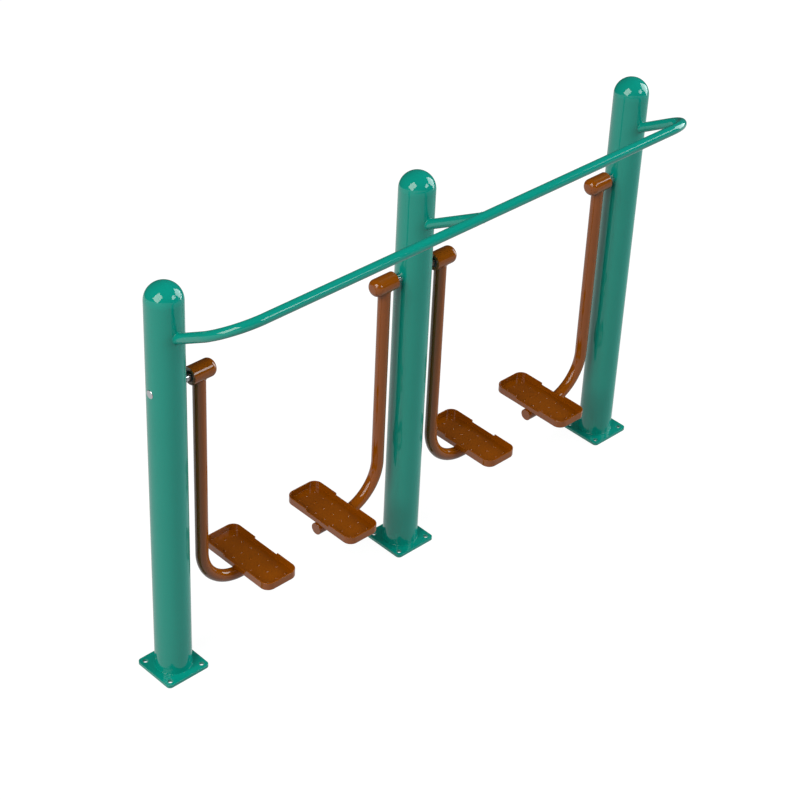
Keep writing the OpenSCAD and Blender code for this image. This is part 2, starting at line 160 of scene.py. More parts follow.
class HubSizes(bpy.types.PropertyGroup):
    """Sizes of the hubs, their caps and their seals."""

    radius: length("Radius", "Outside radius of a hub", 0.03175)
    seat_radius: length("Seat radius", "Radius of the bearing seats inside a hub", 0.026)
    land_radius: length("Land radius", "Radius of the bore between the bearings", 0.0225)
    mouth_edge: length("Mouth edge", "Softness of the edges round a hub's open end", 0.0008)
    cap_wall: length("Cap wall", "Wall of a hub cap", 0.0035)
    cap_inner_radius: length("Cap inner radius", "Inside radius of a cap's shoulder", 0.010)
    seal_bore: length("Seal bore", "Radius of the hole through a seal", 0.0154)
    case_bore: length("Case bore", "Radius of the hole through a seal's painted case", 0.0205)
    seal_fit: length("Seal fit", "Clearance round a seal and round a cap's rim", 0.00003)
    seal_groove: length("Seal groove", "Depth of the groove in a seal's face", 0.0009)


class LegSizes(bpy.types.PropertyGroup):
    """Sizes of the leg tubes and their plugs."""

    radius: length("Radius", "Outside radius of a leg tube", 0.02225)
    wall: length("Wall", "Wall of a leg tube", 0.003)
    inset: length("Inset", "Distance from a hub's open end to the leg's axis", 0.0397)
    bend_radius: length("Bend radius", "Radius of a leg's bend, to its axis", 0.165)
    sink: length("Sink", "How deep a leg sits in the underside of its tray", 0.0014)
    weld_gap: length("Weld gap", "Clearance of a tube's end round what it is welded to", 0.00015)
    plug_edge: length("Plug edge", "Softness of a plug's outer edge", 0.0015)


class TraySizes(bpy.types.PropertyGroup):
    """Sizes of the pedal trays and their studs."""

    corner_radius: length("Corner radius", "Radius of a tray's corners, seen from above", 0.033)
    wall: length("Wall", "Wall of a tray", 0.004)
    floor: length("Floor", "Thickness of a tray's floor", 0.005)
    foot_radius: length("Foot radius", "Outside radius along a tray's bottom edge", 0.004)
    inner_radius: length("Inner radius", "Inside radius between the floor and the walls", 0.001)
    rim_radius: length("Rim radius", "Softness of a tray's rim", 0.0009)
    lowered_length: length("Lowered length", "Length of the lowered part of each long wall", 0.117)
    lowered_depth: length("Lowered depth", "Depth of the lowered part of each long wall", 0.009)
    step_radius: length("Step radius", "Radius at both ends of the step in a long wall", 0.0015)
    studs_along: count("Studs along", "Studs along a tray", 7)
    studs_across: count("Studs across", "Studs across a tray", 3)
    stud_pitch_along: length("Stud pitch along", "Distance between studs along a tray", 0.045)
    stud_pitch_across: length("Stud pitch across", "Distance between studs across a tray", 0.039)
    stud_radius: length("Stud radius", "Radius of a stud at its foot", 0.0045)
    stud_height: length("Stud height", "Height of a stud's round head above the floor", 0.0027)
    stud_root: length("Stud root", "Depth of a stud in the floor", 0.0005)
    stud_sides: count("Stud sides", "Sides of a stud", 28)


class WeldSizes(bpy.types.PropertyGroup):
    """Sizes of the weld beads."""

    frame_radius: length("Frame radius", "Radius of the weld beads on the frame", 0.0013)
    leg_radius: length("Leg radius", "Radius of the weld beads on the legs", 0.0015)
    lift_share: amount("Lift share", "How far a bead stands out, as a share of its radius", 0.25)
    ripple: amount("Ripple", "Height of a bead's ripples, as a share of its radius", 0.04)
    ripple_pitch: length("Ripple pitch", "Length of one ripple along a bead", 0.0026)
    steps: count("Steps", "Rings in one ripple of a bead", 5)
    sides: count("Sides", "Sides of a bead", 10)


class Finishes(bpy.types.PropertyGroup):
    """Colours and gloss of the finishes."""

    teal: tint("Teal paint", "Colour of the frame's paint", (0.002, 0.305, 0.240))
    brown: tint("Brown paint", "Colour of the legs' paint", (0.285, 0.069, 0.0003))
    bright_steel: tint("Bright steel", "Colour of turned and polished steel", (0.52, 0.53, 0.54))
    bearing_steel: tint("Bearing steel", "Colour of ground bearing steel", (0.42, 0.43, 0.45))
    rubber: tint("Rubber", "Colour of the seals", (0.012, 0.012, 0.013))
    paint_roughness: amount("Paint roughness", "Roughness of the gloss paint", 0.05)
    cloud: amount("Paint cloud", "How far the paint's tone wanders, as a share of its colour", 0.05)
    peel_height: length("Orange peel", "Height of the fine waves in the paint", 0.0000006)
    steel_roughness: amount("Steel roughness", "Roughness of the polished axles", 0.16)
    bearing_roughness: amount("Bearing roughness", "Roughness of ground bearing steel", 0.3)


class StageSizes(bpy.types.PropertyGroup):
    """The floor, the lamps, the surroundings and the camera."""

    floor_reach: length("Floor reach", "Half the side of the floor", 8.0)
    floor_drop: length("Floor drop", "How far the floor lies under the plates", 0.0003)
    floor_glow: amount("Floor glow", "The floor's own white", 1.085, high=2.0)
    shadow_share: amount("Shadow share", "Share of the floor's white that the lamps give", 0.13)
    lamp_distance: length("Lamp distance", "Distance from the object to each soft box", 18.0)
    glow: amount("Glow", "Brightness of the pale surroundings in reflections", 0.65)
    lean: amount("Lean", "How much brighter reflections are towards the far left", 0.13)
    gloom: amount("Gloom", "Brightness of the dark surroundings in reflections", 0.05)
    fill_low: amount("Low fill", "Light on the object from the pale surroundings", 0.18)
    fill_high: amount("High fill", "Light on the object from the dark surroundings", 0.10)
    camera_place: bpy.props.FloatVectorProperty(
        name="Camera place", description="Place of the camera", default=(-4.4579, -4.4334, 5.0641),
        size=3, subtype="TRANSLATION", unit="LENGTH")
    camera_heading: turn("Camera heading", "Turn of the camera about the vertical", -44.948)
    camera_fall: turn("Camera fall", "How far the camera looks down", 35.278)
    camera_roll: turn("Camera roll", "Turn of the camera about its own view", 2.755)
    camera_range: length("Camera range", "Distance beyond which the camera sees nothing", 200.0)
    camera_lens: bpy.props.FloatProperty(
        name="Camera lens", description="Focal length on a 36 mm sensor", default=98.76,
        subtype="DISTANCE_CAMERA")


class AirWalkerSettings(bpy.types.PropertyGroup):
    """Everything that a user may change."""

    plates: bpy.props.PointerProperty(type=PlateSizes)
    posts: bpy.props.PointerProperty(type=PostSizes)
    rail: bpy.props.PointerProperty(type=RailSizes)
    axles: bpy.props.PointerProperty(type=AxleSizes)
    hubs: bpy.props.PointerProperty(type=HubSizes)
    legs: bpy.props.PointerProperty(type=LegSizes)
    trays: bpy.props.PointerProperty(type=TraySizes)
    welds: bpy.props.PointerProperty(type=WeldSizes)
    finishes: bpy.props.PointerProperty(type=Finishes)
    stage: bpy.props.PointerProperty(type=StageSizes)


def settings():
    return bpy.context.scene.air_walker


class Wire:
    """An output of a node tree. Arithmetic on wires adds Math nodes."""

    def __init__(self, tree, socket=None):
        self.tree = tree
        self.socket = socket

    def node(self, kind, choices=None, inputs=None, output=0):
        """Adds a node: its type, the choices it takes first, and the values or wires of its sockets."""
        added = self.tree.nodes.new(kind)
        for name, value in (choices or {}).items():
            setattr(added, name, value)
        for name, value in (inputs or {}).items():
            if isinstance(value, Wire):
                self.tree.links.new(value.socket, added.inputs[name])
            else:
                added.inputs[name].default_value = value
        return Wire(self.tree, added.outputs[output] if added.outputs else None)

    def maths(self, operation, *values):
        return self.node("ShaderNodeMath", {"operation": operation}, dict(enumerate(values)))

    def __add__(self, other):
        return self.maths("ADD", self, other)

    def __radd__(self, other):
        return self.maths("ADD", other, self)

    def __sub__(self, other):
        return self.maths("SUBTRACT", self, other)

    def __rsub__(self, other):
        return self.maths("SUBTRACT", other, self)

    def __mul__(self, other):
        return self.maths("MULTIPLY", self, other)

    def __rmul__(self, other):
        return self.maths("MULTIPLY", other, self)

    def __truediv__(self, other):
        return self.maths("DIVIDE", self, other)

    def __rtruediv__(self, other):
        return self.maths("DIVIDE", other, self)


def new_material(name):
    """An empty material and a wire to add its nodes to."""
    material = bpy.data.materials.new(name)
    material.use_nodes = True
    material.node_tree.nodes.clear()
    return material, Wire(material.node_tree)


def noise(place, scale, detail):
    """Soft noise between 0 and 1, with so many lumps to the metre."""
    return place.node("ShaderNodeTexNoise", {}, {"Vector": place, "Scale": scale, "Detail": detail})


def blend_tones(share, first, second):
    """A colour between two, by a wire from 0 to 1."""
    # A Mix node's sockets for colours, which come after those for numbers and vectors
    first_socket, second_socket, result = 6, 7, 2
    return share.node("ShaderNodeMix", {"data_type": "RGBA"}, {
        0: share, first_socket: (*first, 1), second_socket: (*second, 1)}, output=result)


def close_material(material, inputs, height, depth, strength=1.0):
    """Ends a finish: the inputs of its surface, and a fine relief of this depth in metres."""
    relief = height.node("ShaderNodeBump", {}, {
        "Height": height, "Distance": depth, "Strength": strength})
    surface = relief.node("ShaderNodeBsdfPrincipled", {}, {**inputs, "Normal": relief})
    surface.node("ShaderNodeOutputMaterial", {}, {"Surface": surface})
    return material


def paint(name, colour):
    """Gloss paint on steel: a tone that wanders a little, and a fine orange peel."""
    finish = settings().finishes
    clouds_per_metre, grains_per_metre, waves_per_metre = 5, 160, 420
    least_rough, rough_spread, refraction = 0.6, 0.8, 1.5
    material, wire = new_material(name)
    place = wire.node("ShaderNodeTexCoord", output="Object")
    cloud = noise(place, clouds_per_metre, detail=3)
    grain = noise(place, grains_per_metre, detail=2)
    peel = noise(place, waves_per_metre, detail=1)
    darker = [part * (1 - finish.cloud) for part in colour]
    lighter = [part * (1 + finish.cloud) for part in colour]
    return close_material(material, {
        "Base Color": blend_tones(cloud, darker, lighter), "IOR": refraction,
        "Roughness": finish.paint_roughness * (least_rough + rough_spread * grain)},
        peel, finish.peel_height)


def turned_steel(name, colour, roughness):
    """Turned steel: fine rings about the X axis, along which the tool went round."""
    rings_per_metre, patches_per_metre, ring_depth = 2600, 30, 0.000004
    dark_share, light_share, least_rough, rough_spread = 0.86, 1.1, 0.7, 0.6
    material, wire = new_material(name)
    place = wire.node("ShaderNodeTexCoord", output="Object")
    scale = (rings_per_metre, patches_per_metre, patches_per_metre)
    along = wire.node("ShaderNodeMapping", {}, {"Vector": place, "Scale": scale})
    rings = noise(along, 1, detail=2)
    darker = [part * dark_share for part in colour]
    lighter = [min(part * light_share, 1.0) for part in colour]
    return close_material(material, {
        "Base Color": blend_tones(rings, darker, lighter), "Metallic": 1.0,
        "Roughness": roughness * (least_rough + rough_spread * rings)}, rings, ring_depth)


def seal_rubber(name, colour):
    """Moulded rubber: dark, matt and slightly dusty."""
    specks_per_metre, pores_per_metre, pore_depth, pore_strength = 220, 1800, 0.00004, 0.6
    dust_share, dust_tone, least_rough, rough_spread = 2.2, 0.004, 0.42, 0.2
    material, wire = new_material(name)
    place = wire.node("ShaderNodeTexCoord", output="Object")
    dust = noise(place, specks_per_metre, detail=4)
    pores = noise(place, pores_per_metre, detail=2)
    dusty = [part * dust_share + dust_tone for part in colour]
    return close_material(material, {
        "Base Color": blend_tones(dust, colour, dusty),
        "Roughness": least_rough + rough_spread * dust}, pores, pore_depth, pore_strength)


# How each slot of the record is made, and which of the finishes it is made from
SLOTS = {
    "teal_paint": (paint, "teal"),
    "brown_paint": (paint, "brown"),
    "bright_steel": (turned_steel, "bright_steel", "steel_roughness"),
    "bearing_steel": (turned_steel, "bearing_steel", "bearing_roughness"),
    "seal_rubber": (seal_rubber, "rubber"),
}


def material_for(slot):
    """The material of a record's slot, made the first time that it is asked for."""
    name = slot + "_finish"
    make, *values = SLOTS[slot]
    finishes = settings().finishes
    return bpy.data.materials.get(name) or make(name, *[getattr(finishes, value) for value in values])


def new_object(name, mesh):
    """An object at the origin that shows a mesh."""
    piece = bpy.data.objects.new(name, mesh)
    bpy.context.scene.collection.objects.link(piece)
    return piece


def drop(piece):
    bpy.data.objects.remove(piece, do_unlink=True)


def settle(piece):
    """Keeps what the modifiers make of a piece as its plain mesh."""
    graph = bpy.context.evaluated_depsgraph_get()
    mesh = bpy.data.meshes.new_from_object(
        piece.evaluated_get(graph), preserve_all_data_layers=True, depsgraph=graph)
    piece.modifiers.clear()
    piece.data = mesh
    mesh.name = piece.name
    return piece


def shade(piece):
    """Smooth faces between sharp edges, with normals that follow the larger faces."""
    piece.data.shade_smooth()
    piece.data.set_sharp_from_angle(angle=SHARP_ANGLE)
    weigh = piece.modifiers.new("Weigh normals", "WEIGHTED_NORMAL")
    weigh.mode = "FACE_AREA"
    weigh.keep_sharp = True
    return settle(piece)


def dress(piece, slot, body, *nodes):
    """Gives a finished piece its finish and its body, and hides the CAD nodes that it stands for."""
    piece.data.materials.clear()
    piece.data.materials.append(material_for(slot))
    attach(piece, body)
    if nodes:
        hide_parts(*nodes)
    return piece


def finish_node(node, slot):
    """Gives a CAD node that stays in view its finish."""
    for material_slot in frame["nodes"][node].material_slots:
        material_slot.material = material_for(slot)


def middle_of(node):
    low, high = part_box(node)
    return (low + high) / 2


def post_x(place):
    return middle_of(f"{place}_base_plate").x


def post_foot(place):
    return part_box(f"{place}_post")[0].z


def post_top(place):
    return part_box(f"{place}_post")[1].z


def post_radius(place):
    """A dome is half a ball, so its height above the post is the radius of both."""
    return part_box(f"{place}_post_dome")[1].z - post_top(place)


def hub_centre(leg):
    """The middle of a hub, on the axis of its joint."""
    joint = next(joint for joint in frame["joints"] if joint["child"] == f"leg_{leg}")
    return Vector(joint["pos_m"])


def leg_side(leg):
    """1 where a leg hangs on the +X side of its post, and -1 on the other."""
    return math.copysign(1, middle_of(f"hub_cap_{leg}").x - hub_centre(leg).x)


def near_and_far(node, leg):
    """The ends of a node along X, the one nearer to the leg's post first."""
    low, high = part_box(node)
    return (low.x, high.x) if leg_side(leg) > 0 else (high.x, low.x)


def outward(leg):
    """The way from a leg's post to its hub cap."""
    return ACROSS * leg_side(leg)


def on_axis(leg, x):
    """A point on the axis of a leg's hub."""
    centre = hub_centre(leg)
    return Vector((x, centre.y, centre.z))


def leg_post(leg):
    """The post that carries a leg."""
    return min(POSTS, key=lambda place: abs(post_x(place) - hub_centre(leg).x))


def leg_corners(leg):
    """The corners of a leg's axis: at the hub, under it near the ground, and at the plugged end."""
    sizes = settings().legs
    near, _ = near_and_far(f"hub_{leg}", leg)
    _, far = near_and_far(f"leg_tube_{leg}", leg)
    x = near + leg_side(leg) * sizes.inset
    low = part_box(f"pedal_{leg}")[0].z + sizes.sink - sizes.radius
    return [Vector((x, 0, hub_centre(leg).z)), Vector((x, 0, low)), Vector((far, 0, low))]


def rail_root(x):
    """Where the axis of the handrail or of its strut meets a post's axis."""
    return Vector((x, 0, settings().rail.root_height))


def rail_corner(x):
    """Where the handrail's axis would turn the corner in front of x."""
    sizes = settings().rail
    return Vector((x, -sizes.reach, sizes.root_height + sizes.reach * math.tan(sizes.slope)))


def rail_heading():
    """The way in which the handrail and its strut leave the posts."""
    slope = settings().rail.slope
    return Vector((0, -math.cos(slope), math.sin(slope)))


def rounded(corners, closed):
    """The points of an outline of (along, out, radius) corners, as (point, normal before, normal after).

    The outline runs clockwise round its material, so that its normals lie to the left of its course."""
    spots = [Vector(corner[:2]) for corner in corners]
    last = len(spots) - 1
    points = []
    for i, spot in enumerate(spots):
        came = (spot - spots[i - 1]).normalized()
        goes = (spots[(i + 1) % len(spots)] - spot).normalized()
        if not closed and i == 0:
            came = goes
        if not closed and i == last:
            goes = came
        before = Vector((-came.y, came.x))
        after = Vector((-goes.y, goes.x))
        radius = corners[i][2]
        bend = came.angle(goes)
        if radius == 0 or bend < TINY:
            points.append((spot, before, after))
            continue
        bulge = 1 if came.cross(goes) < 0 else -1
        centre = spot - came * radius * math.tan(bend / 2) - before * radius * bulge
        steps = max(2, round(bend / ARC_STEP))
        for k in range(steps + 1):
            normal = Matrix.Rotation(-bulge * bend * k / steps, 2) @ before
            points.append((centre + normal * radius * bulge, normal, normal))
    return points


def turned(name, corners, origin, axis, closed=True):
    """A piece turned about an axis, from an outline of (along, out, radius) corners, with true normals."""
    points = rounded(corners, closed)
    first = ACROSS if axis == UP else UP
    second = axis.cross(first)
    angles = [FULL_TURN * j / TURNED_SIDES for j in range(TURNED_SIDES)]
    spokes = [first * math.cos(angle) + second * math.sin(angle) for angle in angles]
    places, rings = [], []
    for i, (spot, _, _) in enumerate(points):
        if i and (spot - points[i - 1][0]).length < TINY:
            rings.append(rings[-1])
        elif spot.y < TINY:
            rings.append([len(places)] * TURNED_SIDES)
            places.append(origin + axis * spot.x)
        else:
            rings.append(range(len(places), len(places) + TURNED_SIDES))
            places += [origin + axis * spot.x + spoke * spot.y for spoke in spokes]
    faces, normals = [], []
    stretches = [(i, i + 1) for i in range(len(points) - 1)] + [(len(points) - 1, 0)] * closed
    for start, end in stretches:
        if rings[start] is rings[end]:
            continue
        for j in range(TURNED_SIDES):
            beside = (j + 1) % TURNED_SIDES
            face = []
            for ring, spoke, normal in ((start, j, points[start][2]), (start, beside, points[start][2]),
                                        (end, beside, points[end][1]), (end, j, points[end][1])):
                if rings[ring][spoke] not in face:
                    face.append(rings[ring][spoke])
                    normals.append(axis * normal.x + spokes[spoke] * normal.y)
            faces.append(face)
    mesh = bpy.data.meshes.new(name)
    mesh.from_pydata(places, [], faces)
    mesh.shade_smooth()
    mesh.normals_split_custom_set(normals)
    return new_object(name, mesh)


def soft_rise(low, high, radius, steps):
    """The foot and the head of a rise with round ends, each as (distance off the wall, height)."""
    foot = []
    for k in range(steps + 1):
        angle = QUARTER_TURN * k / steps
        foot.append((radius * (1 - math.sin(angle)), low + radius * (1 - math.cos(angle))))
    return foot, [(off, low + high - height) for off, height in reversed(foot)]


def add_bands(shape, rings):
    """Adds the faces between rings that follow each other."""
    for below, above in zip(rings, rings[1:]):
        for j in range(len(below)):
            shape.faces.new((below[j - 1], below[j], above[j], above[j - 1]))


def built(name, shape):
    """Ends a shape under construction as an object."""
    mesh = bpy.data.meshes.new(name)
    shape.to_mesh(mesh)
    shape.free()
    return new_object(name, mesh)


def along_line(offset, heading, axis, radius):
    """How far a point runs along a heading until it is at a radius from an axis through the origin."""
    flat_heading = heading - axis * heading.dot(axis)
    flat_offset = offset - axis * offset.dot(axis)
    middle = flat_offset.dot(flat_heading)
    excess = flat_offset.length_squared - radius ** 2
    reach = math.sqrt(middle ** 2 - flat_heading.length_squared * excess)
    return (reach - middle) / flat_heading.length_squared


class Cope(NamedTuple):
    """A tube's end that is cut to fit round another tube."""

    at: Vector  # where the two axes meet
    heading: Vector  # the way that the tube leaves
    axis: Vector  # the other tube's axis
    radius: float  # the other tube's outside radius

    def ring(self, radius):
        """The line where a tube of this radius meets the other one."""
        side = self.heading.cross(self.axis).normalized()
        over = self.heading.cross(side)
        points = []
        for k in range(BEAD_STEPS):
            angle = FULL_TURN * k / BEAD_STEPS
            offset = (side * math.cos(angle) + over * math.sin(angle)) * radius
            reach = along_line(offset, self.heading, self.axis, self.radius)
            points.append(self.at + offset + self.heading * reach)
        return points


def node_tree(name, inputs):
    """A Geometry Nodes tree with named inputs, and a wire for each of them."""
    tree = bpy.data.node_groups.new(name, "GeometryNodeTree")
    tree.interface.new_socket("Geometry", in_out="INPUT", socket_type="NodeSocketGeometry")
    tree.interface.new_socket("Geometry", in_out="OUTPUT", socket_type="NodeSocketGeometry")
    for label, kind in inputs.items():
        tree.interface.new_socket(label, in_out="INPUT", socket_type="NodeSocket" + kind)
    entry = tree.nodes.new("NodeGroupInput")
    return tree, {socket.name: Wire(tree, socket) for socket in entry.outputs if socket.name}


def close_tree(geometry, material):
    """Ends a tree: real geometry in place of instances, smooth, and in its material."""
    smooth = geometry.node("GeometryNodeSetShadeSmooth", {}, {"Geometry": geometry})
    real = smooth.node("GeometryNodeRealizeInstances", {}, {"Geometry": smooth})
    finished = real.node("GeometryNodeSetMaterial", {}, {"Geometry": real, "Material": material})
    finished.node("NodeGroupOutput", {}, {"Geometry": finished})


def run_tree(piece, name, values):
    """Runs a tree on a piece with these inputs, and keeps the result as a plain mesh."""
    tree = bpy.data.node_groups.get(name) or TREES[name]()
    modifier = piece.modifiers.new(name, "NODES")
    modifier.node_group = tree
    for socket in tree.interface.items_tree:
        if socket.in_out == "INPUT" and socket.name in values:
            modifier[socket.identifier] = values[socket.name]
    return settle(piece)


def line_object(name, lines):
    """An object of bare lines: each is its points, and whether it closes."""
    places, edges = [], []
    for points, closes in lines:
        start = len(places)
        places += points
        edges += [(start + k, start + k + 1) for k in range(len(points) - 1)]
        if closes:
            edges.append((start + len(points) - 1, start))
    mesh = bpy.data.meshes.new(name)
    mesh.from_pydata(places, edges, [])
    return new_object(name, mesh)


def bent_tube_tree():
    """A tube that follows a line of corners with a round bend at each of them."""
    tree, given = node_tree("Bent tube", {
        "Tube radius": "Float", "Bend radius": "Float", "Bend steps": "Int", "Sides": "Int",
        "Closed ends": "Bool", "Material": "Material"})
    line = given["Geometry"]
    curve = line.node("GeometryNodeMeshToCurve", {}, {"Mesh": line})
    bent = curve.node("GeometryNodeFilletCurve", {"mode": "POLY"}, {
        "Curve": curve, "Count": given["Bend steps"], "Radius": given["Bend radius"]})
    section = bent.node("GeometryNodeCurvePrimitiveCircle", {}, {
        "Resolution": given["Sides"], "Radius": given["Tube radius"]})
    tube = bent.node("GeometryNodeCurveToMesh", {}, {
        "Curve": bent, "Profile Curve": section, "Fill Caps": given["Closed ends"]})
    close_tree(tube, given["Material"])
    return tree


def bead_tree():
    """A weld bead along lines, whose ripples are rings of a slowly swelling radius."""
    tree, given = node_tree("Weld bead", {
        "Bead radius": "Float", "Ripple": "Float", "Ripple pitch": "Float", "Steps": "Int",
        "Sides": "Int", "Material": "Material"})
    line = given["Geometry"]
    curve = line.node("GeometryNodeMeshToCurve", {}, {"Mesh": line})
    even = curve.node("GeometryNodeResampleCurve", {"mode": "LENGTH"}, {
        "Curve": curve, "Length": given["Ripple pitch"] / given["Steps"]})
    travelled = even.node("GeometryNodeSplineParameter", output="Length")
    wave = travelled.maths("SINE", travelled * FULL_TURN / given["Ripple pitch"])
    section = even.node("GeometryNodeCurvePrimitiveCircle", {}, {
        "Resolution": given["Sides"], "Radius": given["Bead radius"]})
    bead = even.node("GeometryNodeCurveToMesh", {}, {
        "Curve": even, "Profile Curve": section, "Scale": 1 + wave * given["Ripple"],
        "Fill Caps": True})
    close_tree(bead, given["Material"])
    return tree


def stud_tree():
    """Studs in rows and columns round a centre, each a copy of one stud."""
    tree, given = node_tree("Studs", {
        "Stud": "Object", "Across": "Int", "Along": "Int", "Pitch across": "Float",
        "Pitch along": "Float", "Centre": "Vector", "Material": "Material"})
    across, along = given["Across"], given["Along"]
    grid = across.node("GeometryNodeMeshGrid", {}, {
        "Vertices X": across, "Vertices Y": along,
        "Size X": (across - 1) * given["Pitch across"], "Size Y": (along - 1) * given["Pitch along"]})
    placed = grid.node("GeometryNodeTransform", {}, {"Geometry": grid, "Translation": given["Centre"]})
    pattern = grid.node("GeometryNodeObjectInfo", {}, {"Object": given["Stud"]}, output="Geometry")
    studs = grid.node("GeometryNodeInstanceOnPoints", {}, {"Points": placed, "Instance": pattern})
    close_tree(studs, given["Material"])
    return tree


TREES = {"Bent tube": bent_tube_tree, "Weld bead": bead_tree, "Studs": stud_tree}


def swept(name, corners, radius, bend_radius, closed_ends=False):
    """A bar, or with open ends the outside of a tube, along a line of corners."""
    tube_sides, bend_steps = 64, 48
    piece = line_object(name, [(corners, False)])
    return run_tree(piece, "Bent tube", {
        "Tube radius": radius, "Bend radius": bend_radius, "Bend steps": bend_steps,
        "Sides": tube_sides, "Closed ends": closed_ends})


def bent_tube(name, corners, radius, wall, bend_radius, copes):
    """A tube with a real wall along a line of corners, whose ends are coped to what they meet."""
    piece = swept(name, corners, radius, bend_radius)
    thick = piece.modifiers.new("Wall", "SOLIDIFY")
    thick.thickness = wall
    thick.offset = -1
    thick.use_even_offset = True
    settle(piece)
    for cope in copes:
        for vertex in piece.data.vertices:
            offset = vertex.co - cope.at
            if abs(offset.dot(cope.heading)) < TINY and offset.length < radius + wall:
                vertex.co += cope.heading * along_line(offset, cope.heading, cope.axis, cope.radius)
    return shade(piece)


def cut_away(piece, tool):
    """Cuts a tool's shape out of a piece, and drops the tool."""
    cut = piece.modifiers.new("Cut", "BOOLEAN")
    cut.operation = "DIFFERENCE"
    cut.solver = "EXACT"
    cut.object = tool
    settle(piece)
    drop(tool)
    return piece


def rail_copes():
    """The handrail's two ends, coped to the outer posts."""
    gap = settings().legs.weld_gap
    return [Cope(rail_root(post_x(place)), rail_heading(), UP, post_radius(place) + gap)
            for place in ("left", "right")]


def strut_copes():
    """The strut's ends, coped to the middle post and to the handrail."""
    gap = settings().legs.weld_gap
    x = post_x("middle")
    return [Cope(rail_root(x), rail_heading(), UP, post_radius("middle") + gap),
            Cope(rail_corner(x), -rail_heading(), ACROSS, settings().rail.radius + gap)]


def leg_cope(leg):
    """The top of a leg, coped to the underside of its hub."""
    every = settings()
    return Cope(leg_corners(leg)[0], -UP, ACROSS, every.hubs.radius + every.legs.weld_gap)


def axle_cope(leg):
    """Where a leg's axle leaves its post."""
    place = leg_post(leg)
    at = Vector((post_x(place), 0, hub_centre(leg).z))
    return Cope(at, outward(leg), UP, post_radius(place))


def arc(centre, radius, start, sweep, steps):
    """Points of an arc in the XY plane, with its angles in radians."""
    angles = [start + sweep * k / steps for k in range(steps + 1)]
    return [Vector((centre[0] + radius * math.cos(angle), centre[1] + radius * math.sin(angle), 0))
            for angle in angles]


def plate_loop(half, radius, inset):
    """The outline of a square plate with round corners, drawn in from its edge."""
    corner_steps = 12
    reach = half - radius
    loop = []
    for k, (x, y) in enumerate(((1, 1), (-1, 1), (-1, -1), (1, -1))):
        centre = (x * reach, y * reach)
        loop += arc(centre, radius - inset, k * QUARTER_TURN, QUARTER_TURN, corner_steps)
    return loop


def base_plate(place):
    """A flat plate with soft edges and four open anchor holes."""
    sizes = settings().plates
    edge_steps = 4
    low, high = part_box(f"{place}_base_plate")
    centre = (low + high) / 2
    half = (high.x - low.x) / 2
    shape = bmesh.new()
    rims = []

    def wall(loop_at, edge):
        """One wall of the plate, from its lower rim to its upper one, with soft edges."""
        foot, head = soft_rise(low.z, high.z, edge, edge_steps)
        rings = []
        for inset, z in foot + head:
            rings.append([shape.verts.new((centre.x + p.x, centre.y + p.y, z)) for p in loop_at(inset)])
        add_bands(shape, rings)
        rims.append((rings[0], rings[-1]))

    wall(lambda inset: plate_loop(half, sizes.corner_radius, inset), sizes.edge_radius)
    for x in (-1, 1):
        for y in (-1, 1):
            hole = (x * sizes.hole_spacing / 2, y * sizes.hole_spacing / 2)
            wall(lambda inset: arc(hole, sizes.hole_radius + inset, 0, -FULL_TURN, sizes.hole_sides)[1:],
                 sizes.hole_edge)
    for side in (0, 1):
        edges = []
        for rim in rims:
            ring = rim[side]
            edges += [shape.edges.get((ring[j - 1], ring[j])) for j in range(len(ring))]
        bmesh.ops.triangle_fill(shape, edges=edges, use_beauty=True)
    bmesh.ops.recalc_face_normals(shape, faces=shape.faces)
    return shade(built(f"plate_{place}", shape))


def straight_normals(piece, x, outer, inner):
    """True normals on a drilled post: out of its face, into its bore, and flat on other walls."""
    slack = outer * (1 - math.cos(FULL_TURN / TURNED_SIDES / 2)) + TINY
    mesh = piece.data
    normals = []
    for face in mesh.polygons:
        offsets = [mesh.vertices[i].co - Vector((x, 0, 0)) for i in face.vertices]
        spokes = [Vector((offset.x, offset.y, 0)) for offset in offsets]
        if all(abs(spoke.length - outer) < slack for spoke in spokes):
            normals += [spoke.normalized() for spoke in spokes]
        elif all(abs(spoke.length - inner) < slack for spoke in spokes):
            normals += [-spoke.normalized() for spoke in spokes]
        else:
            normals += [face.normal.copy() for spoke in spokes]
    mesh.shade_smooth()
    mesh.normals_split_custom_set(normals)
    return piece


def post(place):
    """A tube that is drilled through both walls for its axle."""
    sizes = settings().posts
    x, foot, top, outer = post_x(place), post_foot(place), post_top(place), post_radius(place)
    inner = outer - sizes.wall
    corners = [(foot, outer, 0), (top, outer, 0), (top, inner, 0), (foot, inner, 0)]
    piece = turned(f"column_{place}", corners, Vector((x, 0, 0)), UP)
    hole = settings().axles.radius + sizes.axle_fit
    reach = 2 * outer
    drill = [(-reach, 0, 0), (-reach, hole, 0), (reach, hole, 0), (reach, 0, 0)]
    centre = Vector((x, 0, hub_centre(LEGS[0]).z))
    cut_away(piece, turned("drill", drill, centre, ACROSS, closed=False))
    return straight_normals(piece, x, outer, inner)


def dome(place):
    """A hollow half ball with a rim that seats inside the post."""
    sizes = settings().posts
    outer = post_radius(place)
    rim_out = outer - sizes.wall - sizes.rim_fit
    rim_in = rim_out - sizes.rim_wall
    depth = post_top(place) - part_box(f"{place}_post_dome")[0].z
    crown = outer - sizes.rim_wall
    corners = [(crown, 0, 0), (crown, rim_in, rim_in), (-depth, rim_in, 0), (-depth, rim_out, 0),
               (0, rim_out, 0), (0, outer, 0), (outer, outer, outer), (outer, 0, 0)]
    return turned(f"dome_{place}", corners, Vector((post_x(place), 0, post_top(place))), UP, closed=False)


